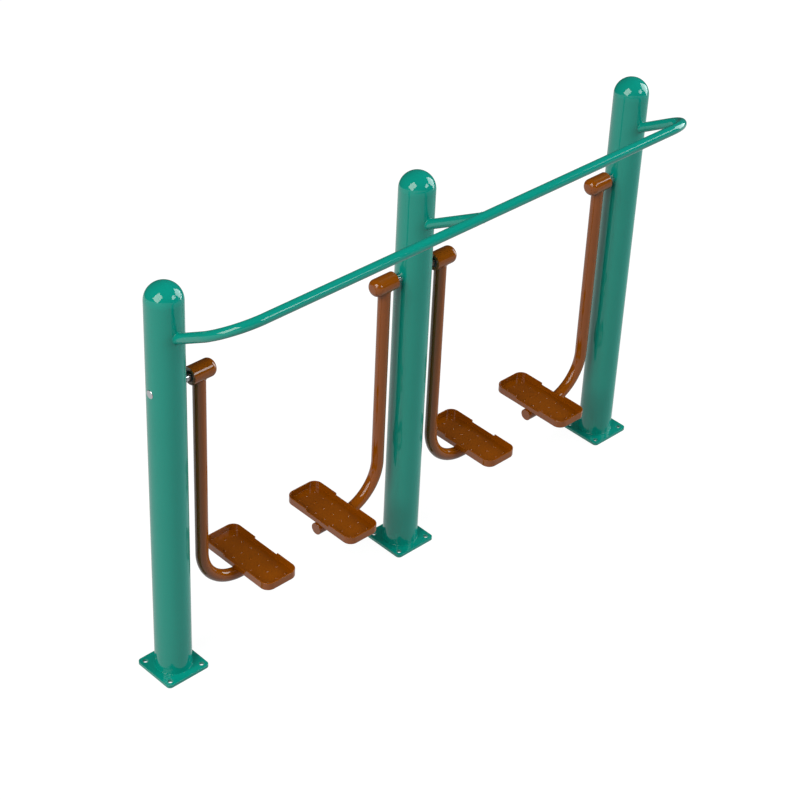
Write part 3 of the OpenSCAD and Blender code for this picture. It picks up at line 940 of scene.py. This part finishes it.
def axle_arm(leg, place):
    """One arm of an axle from the post outwards, as (along, out, radius) corners."""
    sizes = settings().axles
    x = post_x(place)
    shoulder, rings_end = [abs(end - x) for end in near_and_far(f"bearing_inner_rings_{leg}", leg)]
    # The journal stops short of the last ring's face, so that the washer clamps the ring
    journal_end = rings_end - sizes.chamfer / 3
    end = abs(near_and_far(f"{place}_axle", leg)[1] - x)
    soft = sizes.edge_radius
    return [(shoulder, sizes.radius, soft), (shoulder, sizes.journal_radius, soft),
            (journal_end, sizes.journal_radius, soft), (journal_end, sizes.thread_radius, soft),
            (end - sizes.chamfer, sizes.thread_radius, soft),
            (end, sizes.thread_radius - sizes.chamfer, soft), (end, 0, 0)]


def axle(place):
    """A turned axle: an arm for each hub at its post, and a chamfered tail where there is only one."""
    sizes = settings().axles
    soft = sizes.edge_radius
    x = post_x(place)
    leg, *others = [leg for leg in LEGS if leg_post(leg) == place]
    if others:
        tail = [(-along, out, radius) for along, out, radius in reversed(axle_arm(others[0], place))]
    else:
        end = -abs(near_and_far(f"{place}_axle", leg)[0] - x)
        tail = [(end, 0, 0), (end, sizes.radius - sizes.chamfer, soft),
                (end + sizes.chamfer, sizes.radius, soft)]
    corners = tail + axle_arm(leg, place)
    return turned(f"axle_bar_{place}", corners, on_axis(leg, x), outward(leg), closed=False)


def hub(leg):
    """A tube that is bored from both ends for its bearings."""
    sizes = settings().hubs
    near, far = near_and_far(f"hub_{leg}", leg)
    long = abs(far - near)
    inner, outer = [abs(end - near) for end in near_and_far(f"stop_sleeve_{leg}", leg)]
    soft = sizes.mouth_edge
    corners = [(0, sizes.radius, soft), (long, sizes.radius, 0), (long, sizes.seat_radius, 0),
               (outer, sizes.seat_radius, 0), (outer, sizes.land_radius, 0),
               (inner, sizes.land_radius, 0), (inner, sizes.seat_radius, 0), (0, sizes.seat_radius, soft)]
    return turned(f"sleeve_{leg}", corners, on_axis(leg, near), outward(leg))


def hub_cap(leg):
    """A pressed end with a round shoulder, and a rim inside the hub."""
    sizes = settings().hubs
    _, seam = near_and_far(f"hub_{leg}", leg)
    rim_end, end = near_and_far(f"hub_cap_{leg}", leg)
    shoulder, depth = abs(end - seam), abs(seam - rim_end)
    rim_out = sizes.seat_radius - sizes.seal_fit
    rim_in = rim_out - sizes.cap_wall
    inside = shoulder - sizes.cap_wall
    corners = [(inside, 0, 0), (inside, rim_in, sizes.cap_inner_radius), (-depth, rim_in, 0),
               (-depth, rim_out, 0), (0, rim_out, 0), (0, sizes.radius, 0),
               (shoulder, sizes.radius, shoulder), (shoulder, 0, 0)]
    return turned(f"sleeve_cap_{leg}", corners, on_axis(leg, seam), outward(leg), closed=False)


def seal_case(leg):
    """The pressed ring round a seal, painted with its hub."""
    sizes = settings().hubs
    near, far = near_and_far(f"hub_seal_{leg}", leg)
    thick = abs(far - near)
    out = sizes.seat_radius - sizes.seal_fit
    soft = sizes.seal_groove / 2
    corners = [(0, out, soft), (thick, out, 0), (thick, sizes.case_bore, 0), (0, sizes.case_bore, soft)]
    return turned(f"seal_case_{leg}", corners, on_axis(leg, near), outward(leg))


def hub_seal(leg):
    """A rubber ring with a groove in its face and a lip towards the axle."""
    sizes = settings().hubs
    near, far = near_and_far(f"hub_seal_{leg}", leg)
    thick = abs(far - near)
    out, bore, groove = sizes.case_bore, sizes.seal_bore, sizes.seal_groove
    lip = (out - bore) / 4
    soft = groove / 4
    corners = [(groove, out, 0), (thick, out, 0), (thick, bore + soft, 0), (thick - soft, bore, 0),
               (groove, bore, soft), (0, bore + lip, soft), (groove, bore + 2 * lip, soft)]
    return turned(f"lip_seal_{leg}", corners, on_axis(leg, near), outward(leg))


def leg_plug(leg):
    """A flange with a soft edge that covers the end of the tube, on a hollow spigot."""
    sizes = settings().legs
    spigot_end, end = near_and_far(f"leg_plug_{leg}", leg)
    root = leg_corners(leg)[2]
    depth, flange = abs(root.x - spigot_end), abs(end - root.x)
    spigot = sizes.radius - sizes.wall - settings().posts.rim_fit
    bore = spigot - sizes.wall
    corners = [(0, 0, 0), (0, bore, 0), (-depth, bore, 0), (-depth, spigot, 0), (0, spigot, 0),
               (0, sizes.radius, 0), (flange, sizes.radius, sizes.plug_edge), (flange, 0, 0)]
    return turned(f"tube_plug_{leg}", corners, root, outward(leg), closed=False)


def tray_stations(sizes, width, long, low, high):
    """Stations once round a tray, as (place on the outer face, way inwards, height of the rim)."""
    step_steps, corner_steps = 5, 20
    corner = sizes.corner_radius
    side_x, side_y = width / 2 - corner, long / 2 - corner
    foot, head = soft_rise(low, high, sizes.step_radius, step_steps)
    edge = sizes.lowered_length / 2
    step = [(edge - past, height) for past, height in foot]
    step += [(edge + past, height) for past, height in head]
    rims = [(-side_y, high)] + [(-y, height) for y, height in reversed(step)] + step + [(side_y, high)]
    half = [(Vector((width / 2, y)), Vector((-1, 0)), height) for y, height in rims]
    for k in range(1, 2 * corner_steps + 1):
        angle = QUARTER_TURN * k / corner_steps
        away = Vector((math.cos(angle), math.sin(angle)))
        centre = Vector((side_x if k <= corner_steps else -side_x, side_y))
        half.append((centre + away * corner, -away, high))
        if k == corner_steps:
            half.append((Vector((-side_x, side_y)) + away * corner, -away, high))
    half.pop()
    return half + [(-place, -inward, height) for place, inward, height in half]


def tray(leg):
    """A tray from one wall section that runs once round it, with a floor, a lowered rim and studs."""
    sizes, legs = settings().trays, settings().legs
    low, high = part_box(f"pedal_{leg}")
    centre = (low + high) / 2
    rim = high.z - low.z
    lowered = rim - sizes.lowered_depth
    # The sections of the full wall and of the lowered one are alike up to this height
    shared = lowered - 2 * sizes.rim_radius
    # The bands end inside the corners' arcs, at this share of their radius
    band_share = 0.85
    band_end = band_share * sizes.corner_radius
    shape = bmesh.new()
    sections = []
    for place, inward, height in tray_stations(sizes, high.x - low.x, high.y - low.y, lowered, rim):
        section = rounded([
            (band_end, 0, 0), (0, 0, sizes.foot_radius), (0, shared, 0),
            (0, height, sizes.rim_radius), (sizes.wall, height, sizes.rim_radius),
            (sizes.wall, shared, 0), (sizes.wall, sizes.floor, sizes.inner_radius),
            (band_end, sizes.floor, 0)], closed=False)
        corner = Vector((centre.x + place.x, centre.y + place.y, low.z))
        way = Vector((inward.x, inward.y, 0))
        sections.append([shape.verts.new(corner + way * depth + UP * z) for (depth, z), _, _ in section])
    rings = list(zip(*sections))
    add_bands(shape, rings)
    shape.faces.new(list(reversed(rings[0])))
    shape.faces.new(rings[-1])
    bmesh.ops.remove_doubles(shape, verts=shape.verts, dist=TINY)
    bmesh.ops.dissolve_degenerate(shape, edges=shape.edges, dist=TINY)
    piece = built(f"tray_{leg}", shape)
    # The leg's seat is cut past the leg's end, so that it runs right out of the tray
    corners = leg_corners(leg)
    corners[2] += outward(leg) * legs.radius
    space = legs.radius + legs.weld_gap
    cut_away(piece, swept("leg_space", corners, space, legs.bend_radius, closed_ends=True))
    add_studs(piece, Vector((centre.x, centre.y, low.z + sizes.floor)))
    return shade(piece)


def stud():
    """A stud with a round head, its foot a little below the origin."""
    sizes = settings().trays
    head_steps = 6
    ball = (sizes.stud_radius ** 2 + sizes.stud_height ** 2) / (2 * sizes.stud_height)
    widest = math.asin(sizes.stud_radius / ball)
    levels = [(-sizes.stud_root, sizes.stud_radius)]
    for k in range(head_steps):
        angle = widest * (1 - k / head_steps)
        levels.append((sizes.stud_height - ball * (1 - math.cos(angle)), ball * math.sin(angle)))
    shape = bmesh.new()
    rings = []
    for z, radius in levels:
        ring = arc((0, 0), radius, 0, FULL_TURN, sizes.stud_sides)[:-1]
        rings.append([shape.verts.new((spot.x, spot.y, z)) for spot in ring])
    add_bands(shape, rings)
    crown = shape.verts.new((0, 0, sizes.stud_height))
    for j in range(sizes.stud_sides):
        shape.faces.new((rings[-1][j - 1], rings[-1][j], crown))
    shape.faces.new(list(reversed(rings[0])))
    return built("stud", shape)


def add_studs(piece, centre):
    """Puts rows of studs on the floor of a tray, round its centre."""
    sizes = settings().trays
    pattern = stud()
    join(piece, run_tree(line_object("studs", []), "Studs", {
        "Stud": pattern, "Across": sizes.studs_across, "Along": sizes.studs_along,
        "Pitch across": sizes.stud_pitch_across, "Pitch along": sizes.stud_pitch_along,
        "Centre": centre}))
    drop(pattern)


def join(piece, other):
    """Adds another object's mesh to a piece, and drops the other."""
    shape = bmesh.new()
    shape.from_mesh(piece.data)
    shape.from_mesh(other.data)
    shape.to_mesh(piece.data)
    shape.free()
    drop(other)


def raised(cope, radius, lift):
    """A closed line for the bead between a tube of this radius and what it is coped to."""
    return cope._replace(radius=cope.radius + lift).ring(radius + lift), True


def leg_bead_lines(leg):
    """The two straight beads between a leg and the underside of its tray."""
    sizes, welds = settings().legs, settings().welds
    side = leg_side(leg)
    start = leg_corners(leg)[1].x + side * sizes.bend_radius
    _, tray_end = near_and_far(f"pedal_{leg}", leg)
    stop = tray_end - side * settings().trays.foot_radius
    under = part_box(f"pedal_{leg}")[0].z - welds.leg_radius * welds.lift_share
    contact = math.sqrt(sizes.radius ** 2 - (sizes.radius - sizes.sink) ** 2)
    out = contact + welds.leg_radius
    return [([Vector((start, y, under)), Vector((stop, y, under))], False) for y in (-out, out)]


def weld_beads(name, slot, body, lines, radius):
    """One piece with all the weld beads of a body."""
    sizes = settings().welds
    piece = run_tree(line_object(name, lines), "Weld bead", {
        "Bead radius": radius, "Ripple": sizes.ripple, "Ripple pitch": sizes.ripple_pitch,
        "Steps": sizes.steps, "Sides": sizes.sides, "Material": material_for(slot)})
    return dress(piece, slot, body)


class SoftBox(NamedTuple):
    """A lamp, as seen from the object. Its angles are in degrees."""

    heading: float
    height: float
    roll: float  # its turn about the line to the object
    width: float  # for each metre of its distance
    tall: float  # for each metre of its distance
    radiance: float
    colour: tuple


SOFT_BOXES = {
    "side_box": SoftBox(-171.4, 38.1, -24, 0.62, 0.78, 6.2, (1, 0.98, 0.91)),
    "front_box": SoftBox(-63.6, 30.4, 5, 0.38, 0.29, 6.2, (0.92, 1, 1)),
    "end_box": SoftBox(-15.5, 16.0, 18, 0.61, 0.84, 5.8, (0.92, 1, 1)),
}


def hang_lamp(name, box, distance):
    """Hangs a soft box that faces the object, and that the camera sees only in reflections."""
    heading, height = math.radians(box.heading), math.radians(box.height)
    flat = math.cos(height)
    away = Vector((flat * math.cos(heading), flat * math.sin(heading), math.sin(height)))
    side = UP.cross(away).normalized()
    light = bpy.data.lights.new(name, "AREA")
    light.shape = "RECTANGLE"
    light.size = box.width * distance
    light.size_y = box.tall * distance
    light.color = box.colour
    light.energy = box.radiance * math.pi * light.size * light.size_y
    lamp = bpy.data.objects.new(name, light)
    bpy.context.scene.collection.objects.link(lamp)
    facing = Matrix((side, away.cross(side), away)).transposed()
    roll = Matrix.Rotation(math.radians(box.roll), 3, "Z")
    low, high = CAD_BOUNDS
    lamp.matrix_world = Matrix.Translation((low + high) / 2 + away * distance) @ (facing @ roll).to_4x4()
    lamp.visible_camera = False


def light_surroundings(stage):
    """White to the camera, and pale below and dark above to everything else."""
    # The border between pale and dark: its slope, its depth under the horizon, and half its width
    slope, depth, blur = 0.244, 0.055, 0.02
    world = bpy.data.worlds.new("surroundings")
    world.use_nodes = True
    world.node_tree.nodes.clear()
    bpy.context.scene.world = world
    wire = Wire(world.node_tree)
    way = wire.node("ShaderNodeTexCoord", output="Generated")

    def along(heading):
        """How far the view goes along a heading."""
        return wire.node("ShaderNodeVectorMath", {"operation": "DOT_PRODUCT"}, {
            0: way, 1: heading}, output="Value")

    dark = wire.node("ShaderNodeMapRange", {"clamp": True}, {
        "Value": along((slope, slope, 1)) + depth, "From Min": -blur, "From Max": blur,
        "To Min": 0.0, "To Max": 1.0})
    rays = {name: wire.node("ShaderNodeLightPath", output=name)
            for name in ("Is Camera Ray", "Is Glossy Ray", "Is Transmission Ray")}
    mirrored = rays["Is Glossy Ray"].maths("MAXIMUM", rays["Is Glossy Ray"], rays["Is Transmission Ray"])
    pale = stage.glow + along((-stage.lean, stage.lean, 0))
    shown = pale + dark * (stage.gloom - pale)
    fill = stage.fill_low + dark * (stage.fill_high - stage.fill_low)
    seen = mirrored * shown + (1 - mirrored) * fill
    strength = rays["Is Camera Ray"] + (1 - rays["Is Camera Ray"]) * seen
    background = wire.node("ShaderNodeBackground", {}, {"Color": WHITE, "Strength": strength})
    wire.node("ShaderNodeOutputWorld", {}, {"Surface": background})


def floor_material(stage):
    """White to the camera with a faint shadow, and clear to every other ray."""
    material, wire = new_material("floor")
    glow = wire.node("ShaderNodeEmission", {}, {"Color": WHITE, "Strength": stage.floor_glow})
    lit = wire.node("ShaderNodeBsdfDiffuse", {}, {"Color": WHITE})
    white = wire.node("ShaderNodeMixShader", {}, {0: stage.shadow_share, 1: glow, 2: lit})
    clear = wire.node("ShaderNodeBsdfTransparent")
    camera_ray = wire.node("ShaderNodeLightPath", output="Is Camera Ray")
    shown = wire.node("ShaderNodeMixShader", {}, {0: camera_ray, 1: clear, 2: white})
    wire.node("ShaderNodeOutputMaterial", {}, {"Surface": shown})
    return material


class AIR_WALKER_OT_stage(bpy.types.Operator):
    """Lays the floor, lights the surroundings, hangs the lamps and sets up the camera."""

    bl_idname = "air_walker.stage"
    bl_label = "Stage"

    def execute(self, context):
        stage = settings().stage
        reach, drop_by = stage.floor_reach, stage.floor_drop
        mesh = bpy.data.meshes.new("floor")
        corners = [(-reach, -reach), (reach, -reach), (reach, reach), (-reach, reach)]
        mesh.from_pydata([(x, y, -drop_by) for x, y in corners], [], [(0, 1, 2, 3)])
        mesh.materials.append(floor_material(stage))
        new_object("floor", mesh)
        light_surroundings(stage)
        for name, box in SOFT_BOXES.items():
            hang_lamp(name, box, stage.lamp_distance)
        camera = bpy.data.objects.new("camera", bpy.data.cameras.new("camera"))
        context.scene.collection.objects.link(camera)
        camera.data.lens = stage.camera_lens
        camera.data.clip_end = stage.camera_range
        turned_to = (Matrix.Rotation(stage.camera_heading, 4, "Z")
                     @ Matrix.Rotation(QUARTER_TURN - stage.camera_fall, 4, "X")
                     @ Matrix.Rotation(stage.camera_roll, 4, "Z"))
        camera.matrix_world = Matrix.Translation(stage.camera_place) @ turned_to
        context.scene.camera = camera
        context.scene.view_settings.view_transform = "Standard"
        return {"FINISHED"}


class AIR_WALKER_OT_base_plates(bpy.types.Operator):
    """Makes the three base plates."""

    bl_idname = "air_walker.base_plates"
    bl_label = "Base plates"

    def execute(self, context):
        for place in POSTS:
            dress(base_plate(place), "teal_paint", "frame", f"{place}_base_plate")
        return {"FINISHED"}


class AIR_WALKER_OT_posts(bpy.types.Operator):
    """Makes the three posts and their domes."""

    bl_idname = "air_walker.posts"
    bl_label = "Posts and domes"

    def execute(self, context):
        for place in POSTS:
            dress(post(place), "teal_paint", "frame", f"{place}_post")
            dress(dome(place), "teal_paint", "frame", f"{place}_post_dome")
        return {"FINISHED"}


class AIR_WALKER_OT_handrail(bpy.types.Operator):
    """Makes the handrail and its strut."""

    bl_idname = "air_walker.handrail"
    bl_label = "Handrail and strut"

    def execute(self, context):
        sizes = settings().rail
        left, right, middle = (post_x(place) for place in ("left", "right", "middle"))
        rail = [rail_root(left), rail_corner(left), rail_corner(right), rail_root(right)]
        strut = [rail_root(middle), rail_corner(middle)]
        for name, corners, copes, node in (("rail", rail, rail_copes(), "handrail"),
                                           ("rail_strut", strut, strut_copes(), "handrail_strut")):
            tube = bent_tube(name, corners, sizes.radius, sizes.wall, sizes.bend_radius, copes)
            dress(tube, "teal_paint", "frame", node)
        return {"FINISHED"}


class AIR_WALKER_OT_axles(bpy.types.Operator):
    """Makes the three axles."""

    bl_idname = "air_walker.axles"
    bl_label = "Axles"

    def execute(self, context):
        for place in POSTS:
            dress(axle(place), "bright_steel", "frame", f"{place}_axle")
        return {"FINISHED"}


class AIR_WALKER_OT_hubs(bpy.types.Operator):
    """Makes the four hubs with their caps and seals."""

    bl_idname = "air_walker.hubs"
    bl_label = "Hubs, caps and seals"

    def execute(self, context):
        for leg in LEGS:
            dress(hub(leg), "brown_paint", f"leg_{leg}", f"hub_{leg}")
            dress(hub_cap(leg), "brown_paint", f"leg_{leg}", f"hub_cap_{leg}")
            dress(seal_case(leg), "brown_paint", f"leg_{leg}")
            dress(hub_seal(leg), "seal_rubber", f"leg_{leg}", f"hub_seal_{leg}")
        return {"FINISHED"}


class AIR_WALKER_OT_legs(bpy.types.Operator):
    """Makes the four leg tubes and their plugs."""

    bl_idname = "air_walker.legs"
    bl_label = "Leg tubes and plugs"

    def execute(self, context):
        sizes = settings().legs
        for leg in LEGS:
            tube = bent_tube(f"swing_tube_{leg}", leg_corners(leg), sizes.radius, sizes.wall,
                             sizes.bend_radius, [leg_cope(leg)])
            dress(tube, "brown_paint", f"leg_{leg}", f"leg_tube_{leg}")
            dress(leg_plug(leg), "brown_paint", f"leg_{leg}", f"leg_plug_{leg}")
        return {"FINISHED"}


class AIR_WALKER_OT_trays(bpy.types.Operator):
    """Makes the four studded pedal trays."""

    bl_idname = "air_walker.trays"
    bl_label = "Pedal trays"

    def execute(self, context):
        for leg in LEGS:
            dress(tray(leg), "brown_paint", f"leg_{leg}", f"pedal_{leg}")
        return {"FINISHED"}


class AIR_WALKER_OT_welds(bpy.types.Operator):
    """Runs the weld beads round the feet of the posts, round the tubes and axles, and under the trays."""

    bl_idname = "air_walker.welds"
    bl_label = "Weld beads"

    def execute(self, context):
        every = settings()
        sizes = every.welds
        lift = sizes.frame_radius * sizes.lift_share
        lines = []
        for place in POSTS:
            foot = Vector((post_x(place), 0, post_foot(place) + lift))
            ring = arc((0, 0), post_radius(place) + lift, 0, FULL_TURN, BEAD_STEPS)[1:]
            lines.append(([foot + spot for spot in ring], True))
        for cope in rail_copes() + strut_copes():
            lines.append(raised(cope, every.rail.radius, lift))
        for leg in LEGS:
            lines.append(raised(axle_cope(leg), every.axles.radius, lift))
        weld_beads("frame_welds", "teal_paint", "frame", lines, sizes.frame_radius)
        lift = sizes.leg_radius * sizes.lift_share
        for leg in LEGS:
            lines = [raised(leg_cope(leg), every.legs.radius, lift)] + leg_bead_lines(leg)
            weld_beads(f"leg_welds_{leg}", "brown_paint", f"leg_{leg}", lines, sizes.leg_radius)
        return {"FINISHED"}


class AIR_WALKER_OT_inner_parts(bpy.types.Operator):
    """Finishes the bearings, sleeves, washers and nuts inside the hubs."""

    bl_idname = "air_walker.inner_parts"
    bl_label = "Inner parts"

    def execute(self, context):
        for leg in LEGS:
            for kind in ("bearing_inner_rings", "bearing_outer_rings", "bearing_balls", "stop_sleeve"):
                finish_node(f"{kind}_{leg}", "bearing_steel")
        for node in ("axle_washers", "axle_nuts"):
            finish_node(node, "bright_steel")
        return {"FINISHED"}


class AIR_WALKER_PT_pieces(bpy.types.Panel):
    """Lists what the add-on makes."""

    bl_idname = "AIR_WALKER_PT_pieces"
    bl_label = "Air walker"
    bl_space_type = "VIEW_3D"
    bl_region_type = "UI"
    bl_category = "Air walker"

    def draw(self, context):
        for operator in OPERATORS:
            self.layout.operator(operator.bl_idname)


GROUPS = (PlateSizes, PostSizes, RailSizes, AxleSizes, HubSizes, LegSizes, TraySizes, WeldSizes, Finishes,
          StageSizes, AirWalkerSettings)
OPERATORS = (AIR_WALKER_OT_stage, AIR_WALKER_OT_base_plates, AIR_WALKER_OT_posts, AIR_WALKER_OT_handrail,
             AIR_WALKER_OT_axles, AIR_WALKER_OT_hubs, AIR_WALKER_OT_legs, AIR_WALKER_OT_trays,
             AIR_WALKER_OT_welds, AIR_WALKER_OT_inner_parts)
CLASSES = GROUPS + OPERATORS + (AIR_WALKER_PT_pieces,)


def register():
    for each in CLASSES:
        bpy.utils.register_class(each)
    bpy.types.Scene.air_walker = bpy.props.PointerProperty(type=AirWalkerSettings)


def unregister():
    del bpy.types.Scene.air_walker
    for each in reversed(CLASSES):
        bpy.utils.unregister_class(each)


def main():
    """Makes the stage and every piece."""
    register()
    bpy.ops.air_walker.stage()
    bpy.ops.air_walker.base_plates()
    bpy.ops.air_walker.posts()
    bpy.ops.air_walker.handrail()
    bpy.ops.air_walker.axles()
    bpy.ops.air_walker.hubs()
    bpy.ops.air_walker.legs()
    bpy.ops.air_walker.trays()
    bpy.ops.air_walker.welds()
    bpy.ops.air_walker.inner_parts()


if __name__ == "__main__":
    main()
